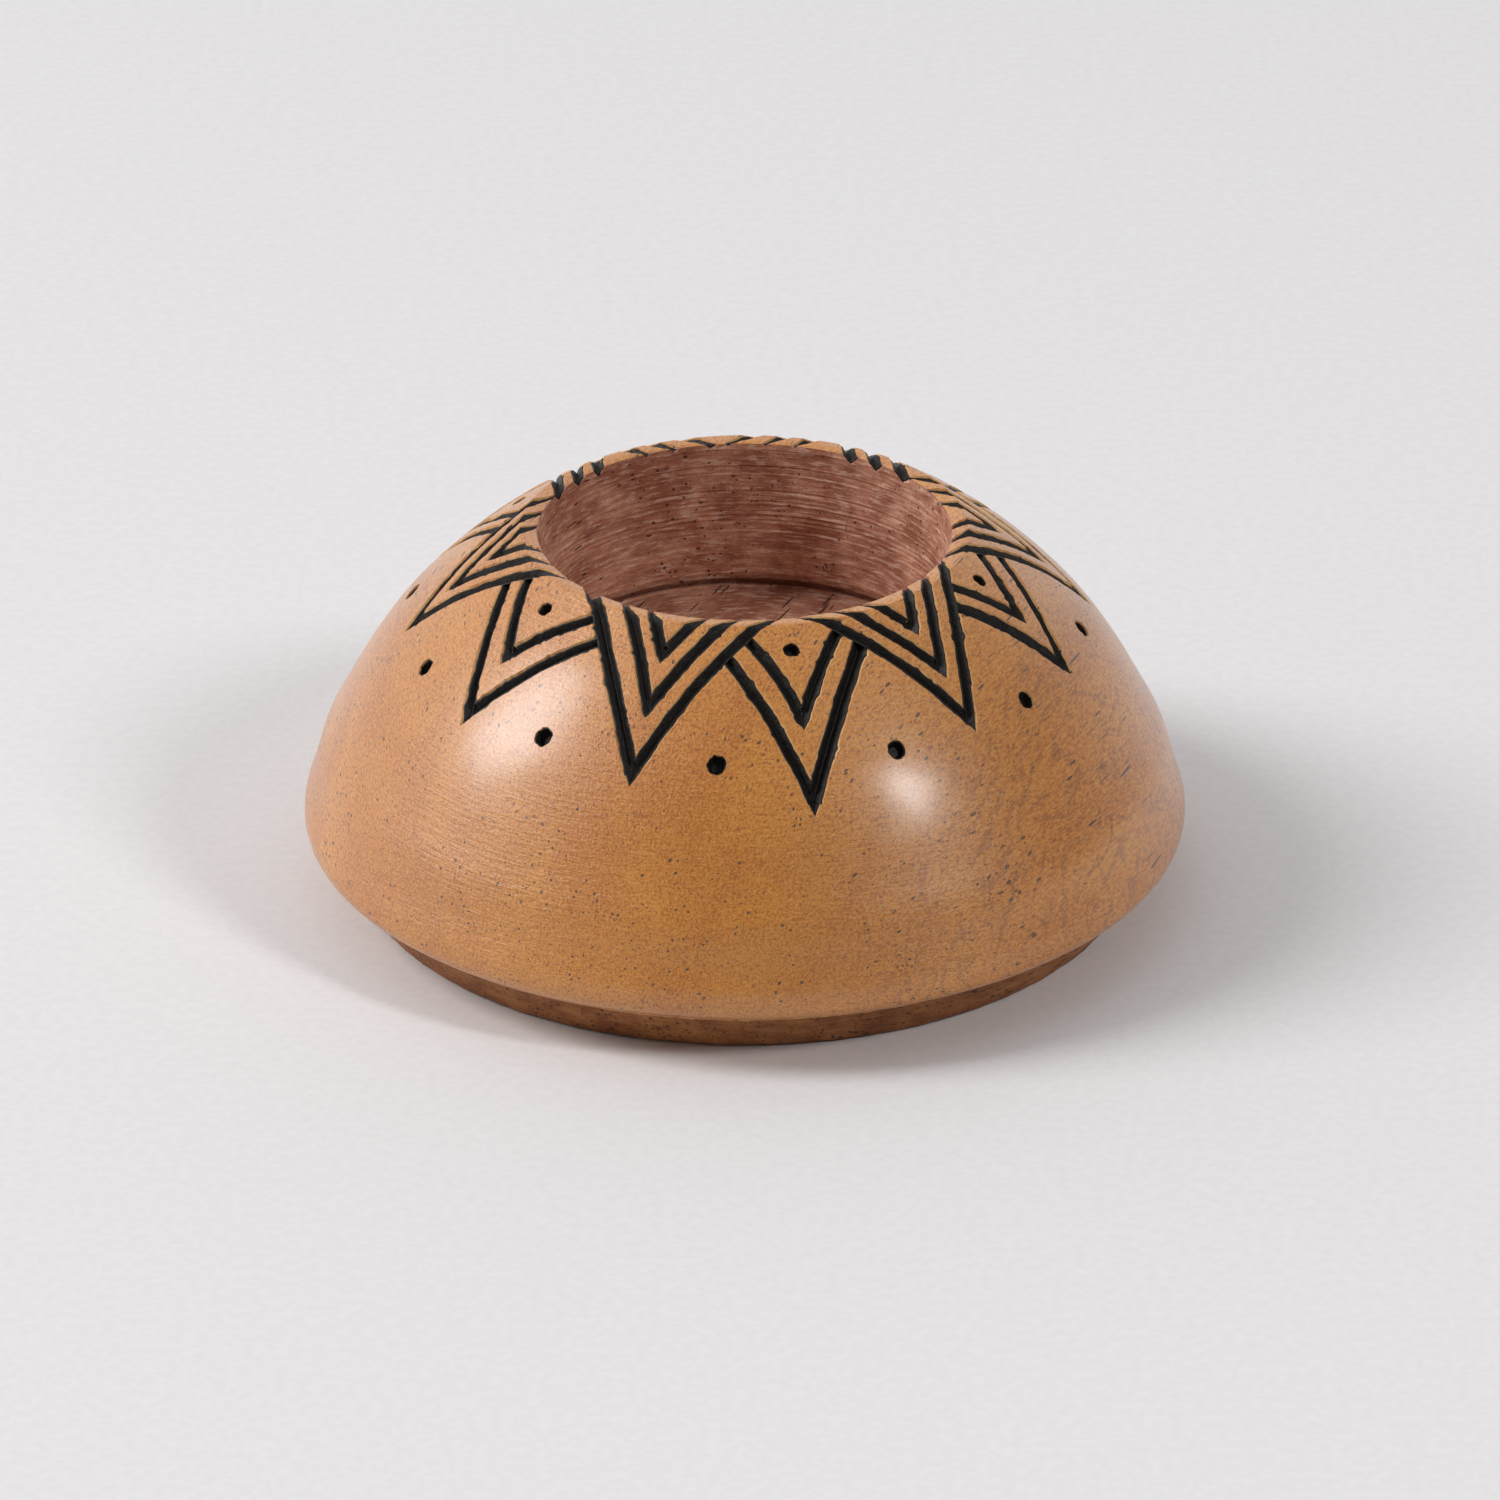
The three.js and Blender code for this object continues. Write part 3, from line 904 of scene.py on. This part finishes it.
# %% [markdown]
# The outside was sanded and waxed. Wax deepens the wood to orange-brown, and gives a broad sheen with
# a sharper gloss on top, which is what a coat over a rougher base does. Close up the wood is never one
# colour: short fibres, light and dark, lie side by side, and dust in the vessels makes dark specks. On
# one side of the block the saw met wavy late wood, drawn by a wave texture bent by noise. Bumps carry
# what is finer than the mesh: the sanding lines, the sunk vessels and the raised fibre ends.

# %% Late wood on one side of the block
LATE_WOOD = (-24.0, -36.0)  # across the fibres, in millimetres: where it starts and is full
LATE_SWAY = 6.0  # how far its lines sway


def late_wood(tree, fibres):
    """Wavy dark lines, as a share from 0 to 1."""
    across = shader(tree, "SeparateXYZ", {0: fibres}).outputs[1]
    there = ramped(tree, across, LATE_WOOD[1], LATE_WOOD[0], 1, 0)
    sway = shader(tree, "TexNoise", {"Vector": fibres, "Scale": 0.16, "Detail": 2.0}).outputs["Color"]
    sway = stretched(tree, sway, LATE_SWAY, LATE_SWAY, LATE_SWAY)
    swayed = shader(tree, "VectorMath", {0: fibres, 1: sway}, operation="ADD").outputs[0]
    inputs = {"Vector": swayed, "Scale": 0.25, "Distortion": 0.7, "Detail": 2.0, "Detail Scale": 1.2}
    wave = shader(tree, "TexWave", inputs, wave_type="BANDS", bands_direction="Y").outputs["Fac"]
    gaps = speckle(tree, stretched(tree, fibres, 0.3, 0.25, 0.25))
    lines = times(tree, ramped(tree, wave, 0.5, 1.0), ramped(tree, gaps, 0.36, 0.6))
    return times(tree, lines, there)


# %% Waxed hardwood
WAXED = {
    "light": (0.62, 0.228, 0.024, 1),
    "deep": (0.54, 0.178, 0.016, 1),
    "pale": (0.74, 0.39, 0.1, 1),
    "dark": (0.24, 0.07, 0.012, 1),
    "vessel": (0.05, 0.026, 0.012, 1),
}
LATE_SHARE = 0.45  # how far late wood darkens the skin
DUST_SHARE = 0.85  # how far dust hides the wood of a vessel
SMALL_VESSEL_SHARE = 0.7  # how much of that the smaller vessels hold


def waxed_hardwood():
    finish, tree, surface = new_finish("waxed_hardwood")
    fibres = grain(tree)
    figure = stretched(tree, fibres, 0.02, 0.1, 0.07)
    figure = speckle(tree, figure, detail=3.0, rough=0.55, bend=0.6)
    colour = tinted(tree, ramped(tree, figure, 0.36, 0.64), WAXED["light"], WAXED["deep"])
    late = late_wood(tree, fibres)
    colour = tinted(tree, times(tree, late, LATE_SHARE), colour, WAXED["dark"])
    fine = speckle(tree, stretched(tree, fibres, 1.3, 4.2, 4.2), rough=0.8)
    colour = tinted(tree, ramped(tree, fine, 0.5, 0.66, to_high=0.62), colour, WAXED["dark"])
    colour = tinted(tree, ramped(tree, fine, 0.5, 0.36, to_high=0.42), colour, WAXED["pale"])
    large = vessels(tree, fibres, spacing=0.78, widest=0.15, share=0.9)
    small = vessels(tree, fibres, spacing=0.42, widest=0.09, share=0.85)
    sunk = worked_out(tree, "MAXIMUM", large, times(tree, small, SMALL_VESSEL_SHARE))
    colour = tinted(tree, times(tree, sunk, DUST_SHARE), colour, WAXED["vessel"])
    sanding = lathe_lines(tree, pitch=2.7, breaks=13.0)
    height = relief(tree, (sanding, 2.5), (fine, 1.1), (sunk, -1.3), (late, -0.3))
    surfaced(
        tree, surface, colour, height, strength=0.85, distance=0.00007, roughness=0.42, specular=0.75,
    )
    surface.inputs["Coat Weight"].default_value = 0.8
    surface.inputs["Coat Roughness"].default_value = 0.25
    return finish


# %% [markdown]
# Inside the well the scraper left the wood raw, pinker and drier, with pale torn fibres standing along
# its rings and dark dust in the vessels. The foot band is raw too, but browner, with open vessels. The
# walls of the cuts, where no paint covers them, show the bare orange wood. These are one recipe with
# three sets of colours. In the well the torn lines are closer together and paler than on the others,
# and a band of painted shade darkens the foot of its wall.


# %% Raw wood
@dataclass
class RawTones:
    light: tuple
    deep: tuple
    pale: tuple
    line_pitch: float  # torn lines in a millimetre
    pale_share: float
    vessel_share: float
    # how dark the painted shade along the foot of the well's wall is, as a share
    painted_corner_shade: float = 0.0


# In the well a band of painted shade darkens the foot of the wall.
WELL = RawTones(
    light=(0.6, 0.3, 0.195, 1), deep=(0.33, 0.12, 0.068, 1), pale=(0.82, 0.58, 0.46, 1),
    line_pitch=2.3, pale_share=0.55, vessel_share=0.4, painted_corner_shade=0.72,
)
FOOT = RawTones(
    light=(0.4, 0.16, 0.05, 1), deep=(0.22, 0.072, 0.02, 1), pale=(0.5, 0.24, 0.09, 1),
    line_pitch=1.6, pale_share=0.3, vessel_share=0.95,
)
CUT = RawTones(
    light=(0.76, 0.44, 0.18, 1), deep=(0.55, 0.24, 0.07, 1), pale=(0.85, 0.6, 0.34, 1),
    line_pitch=1.6, pale_share=0.4, vessel_share=0.2,
)
# the dark of the dust in the vessels, also used for the painted shade at the foot of the well's wall
DUST_AND_SHADE = (0.045, 0.018, 0.009, 1)
TORN_BREAKS = 9.0  # how short the torn lines are: breaks in a radian
# the band of painted shade at the foot of the well's wall: where it starts and where it fades
SHADE_STARTS = (0.1, 0.3)  # above the floor of the well, in millimetres
SHADE_FADES = (0.5, 2.0)


def painted_corner_shade(tree):
    """Painted shade along the foot of the well's wall, as a share from 0 to 1."""
    place = shader(tree, "TexCoord").outputs["Object"]
    height = shader(tree, "SeparateXYZ", {0: place}).outputs[2]
    starting = ramped(tree, height, *[(FLOOR_Z + up) * MM for up in SHADE_STARTS])
    fading = ramped(tree, height, *[(FLOOR_Z + up) * MM for up in SHADE_FADES], 1, 0)
    return times(tree, starting, fading)


def raw_wood(name, tones):
    finish, tree, surface = new_finish(name)
    fibres = grain(tree)
    patches = speckle(tree, stretched(tree, fibres, 0.12, 0.3, 0.3), detail=4.0, rough=0.65)
    colour = tinted(tree, ramped(tree, patches, 0.34, 0.66), tones.light, tones.deep)
    torn = lathe_lines(tree, tones.line_pitch, TORN_BREAKS)
    colour = tinted(tree, ramped(tree, torn, 0.5, 0.66, to_high=tones.pale_share), colour, tones.pale)
    colour = tinted(tree, ramped(tree, torn, 0.46, 0.34, to_high=0.5), colour, tones.deep)
    fine = speckle(tree, stretched(tree, fibres, 1.2, 3.4, 3.4), detail=3.0, rough=0.7)
    colour = tinted(tree, ramped(tree, fine, 0.5, 0.72, to_high=0.55), colour, tones.deep)
    large = vessels(tree, fibres, spacing=0.8, widest=0.2, share=tones.vessel_share)
    small = vessels(tree, fibres, spacing=0.45, widest=0.14, share=tones.vessel_share)
    sunk = worked_out(tree, "MAXIMUM", large, small)
    colour = tinted(tree, times(tree, sunk, DUST_SHARE), colour, DUST_AND_SHADE)
    # painted shade: the well's wall is darkened along its foot, where the floor meets it
    if tones.painted_corner_shade:
        wall_foot_shade = times(tree, painted_corner_shade(tree), tones.painted_corner_shade)
        colour = tinted(tree, wall_foot_shade, colour, DUST_AND_SHADE)
    height = relief(tree, (torn, 1.5), (fine, 1.0), (sunk, -1.0))
    surfaced(
        tree, surface, colour, height, strength=0.7, distance=0.00012, roughness=0.7, specular=0.35,
    )
    return finish


# %% [markdown]
# The paint dried thick and granular. It is a warm black with brown-grey grains, and its grains catch a
# little light on the walls that face the window.

# %% Black paint
PAINT = {"black": (0.0045, 0.003, 0.002, 1), "grain": (0.055, 0.041, 0.026, 1)}


def black_paint():
    finish, tree, surface = new_finish("black_paint")
    place = shader(tree, "TexCoord").outputs["Object"]
    grains = speckle(tree, place, scale=5200.0, detail=3.0, rough=0.7)
    lumps = speckle(tree, place, scale=1500.0, rough=0.6)
    grainy = ramped(tree, grains, 0.5, 0.8, to_high=0.7)
    colour = tinted(tree, grainy, PAINT["black"], PAINT["grain"])
    height = relief(tree, (grains, 0.6), (lumps, 1.0))
    surfaced(
        tree, surface, colour, height, strength=0.8, distance=0.00014, roughness=0.48, specular=0.4,
    )
    return finish


# %% [markdown]
# The block is one mesh with four finishes, as one piece of wood was waxed outside and left raw inside.
# Each face takes its finish from its own place: in the well, on the foot band, or below the skin in a
# cut. A face near the skin counts as cut only when it leans away from it.

# %% Giving each surface its finish
ZONES = {"waxed": 0, "well": 1, "foot": 2, "cut": 3}
WALL_SLACK = 0.5  # each slack is how far past its true edge a zone is looked for
FLOOR_SLACK = 1.0
MOUTH_SLACK = 0.03
BAND_SLACK = 0.05
EDGE_SLACK = 0.3
LAND_SLACK = 0.1
UNCUT = 2.0  # no cut comes this close to the belly
LEANING = 0.85  # a face leans if its cosine with the skin is less
BARE_IF_LEANING = 0.1  # depth below the skin from which a leaning face is bare
BARE_ANYWAY = 0.3  # and from which any face is


def zone_of(centre, normal):
    """Which finish a face takes, by its place in metres and the way it faces."""
    x, y, height = centre / MM
    rho = math.hypot(x, y)
    if rho < WELL_R + WALL_SLACK and FLOOR_Z - FLOOR_SLACK < height < MOUTH_Z - MOUTH_SLACK:
        return ZONES["well"]
    if height < FOOT_BAND - BAND_SLACK and rho < FOOT_EDGE_R + EDGE_SLACK:
        return ZONES["foot"]
    if rho > BELLY_R - UNCUT:
        return ZONES["waxed"]
    spot, up = square_to_skin(x, y)
    below = (spot.z - height) * up.z
    leaning = normal.dot(up) < LEANING
    on_land = rho < LAND_R - LAND_SLACK
    bare = below > BARE_ANYWAY or (leaning and (on_land or below > BARE_IF_LEANING))
    return ZONES["cut"] if bare else ZONES["waxed"]


finishes = [
    waxed_hardwood(),
    raw_wood("raw_well_wood", WELL),
    raw_wood("raw_foot_wood", FOOT),
    raw_wood("bare_cut_wood", CUT),
]
block.data.materials.clear()
for finish in finishes:
    block.data.materials.append(finish)
for face in block.data.polygons:
    face.material_index = zone_of(face.center, face.normal)
for zone, index in ZONES.items():
    count = sum(face.material_index == index for face in block.data.polygons)
    print(zone, "finish on", count, "faces")
paint = black_paint()
for piece in list(films.values()) + list(cups.values()):
    piece.data.materials.clear()
    piece.data.materials.append(paint)

# %% [markdown]
# ## The paper and the light
# The bowl stands on a wide sheet of off-white paper with a faint tooth. A large soft light stands high
# on the left, a smaller one in front on the right, and the white room fills the shadows.

# %% A sheet of paper
HALF_SHEET = 3.0  # metres
PAPER = {"shade": (0.79, 0.78, 0.79, 1), "light": (0.82, 0.81, 0.82, 1)}


def paper_sheet():
    bm = bmesh.new()
    bmesh.ops.create_grid(bm, x_segments=1, y_segments=1, size=HALF_SHEET)
    sheet = as_piece(bm, "paper_sheet")
    finish, tree, surface = new_finish("off_white_paper")
    place = shader(tree, "TexCoord").outputs["Object"]
    tooth = speckle(tree, place, scale=900.0, detail=3.0, rough=0.6)
    colour = tinted(tree, ramped(tree, tooth, 0.35, 0.65), PAPER["shade"], PAPER["light"])
    surfaced(
        tree, surface, colour, tooth, strength=0.3, distance=0.0001, roughness=0.9, specular=0.15,
    )
    sheet.data.materials.append(finish)


paper_sheet()

# %% The lights
LIGHT_ANGLE = math.radians(38)  # above the paper
LIGHT_DISTANCE = 2.0  # metres
AIM_HEIGHT = 0.02


def soft_light(name, bearing, size, power):
    lamp = bpy.data.lights.new(name, "AREA")
    lamp.shape = "ELLIPSE"
    lamp.size, lamp.size_y = size
    lamp.energy = power
    stand = bpy.data.objects.new(name, lamp)
    flat = at_bearing(bearing, math.cos(LIGHT_ANGLE))
    way = Vector((flat.x, flat.y, math.sin(LIGHT_ANGLE)))
    stand.location = way * LIGHT_DISTANCE + Vector((0, 0, AIM_HEIGHT))
    stand.rotation_euler = way.to_track_quat("Z", "Y").to_euler()
    scene.collection.objects.link(stand)


soft_light("large_soft_light", bearing=-90, size=(0.7, 1.05), power=24.5)
soft_light("small_soft_light", bearing=57, size=(0.3, 0.52), power=12.5)


# %% [markdown]
# The room has its window behind on the left, so the light it gives fades towards the front right. A
# world can do that: the direction of each ray, measured towards the window, sets the strength.

# %% The white room, brightest towards its window
WINDOW_WAY = (-0.5, 0.87, 0)
ROOM_COLOUR = (1.0, 0.985, 0.99, 1)
ROOM_FADE = (-0.6, 0.7)  # towards the window: where the light is least, and where it is most
ROOM_LIGHT = (0.08, 0.8)  # the least and the most


def white_room():
    room = bpy.data.worlds.new("white_room")
    room.use_nodes = True
    tree = room.node_tree
    way = shader(tree, "TexCoord").outputs["Generated"]
    facing = shader(tree, "VectorMath", {0: way, 1: WINDOW_WAY}, operation="DOT_PRODUCT")
    strength = ramped(tree, facing.outputs["Value"], *ROOM_FADE, *ROOM_LIGHT)
    background = tree.nodes["Background"]
    background.inputs["Color"].default_value = ROOM_COLOUR
    tree.links.new(strength, background.inputs["Strength"])
    scene.world = room


white_room()

# %% [markdown]
# ## The camera
# A long lens from a little above, far enough back that the bowl looks nearly true to shape.

# %% The camera
CAMERA_PLACE = Vector((0, -0.80787, 0.41692))
CAMERA_AIM = Vector((0.00054, 0, 0.01317))
LENS = 212.4
SENSOR_WIDTH = 36
NEAREST = 0.05
camera_data = bpy.data.cameras.new("camera")
camera_data.lens = LENS
camera_data.sensor_width = SENSOR_WIDTH
camera_data.clip_start = NEAREST
camera = bpy.data.objects.new("camera", camera_data)
camera.location = CAMERA_PLACE
camera.rotation_euler = (CAMERA_AIM - CAMERA_PLACE).to_track_quat("-Z", "Y").to_euler()
scene.collection.objects.link(camera)
scene.camera = camera
scene.view_settings.view_transform = "Standard"
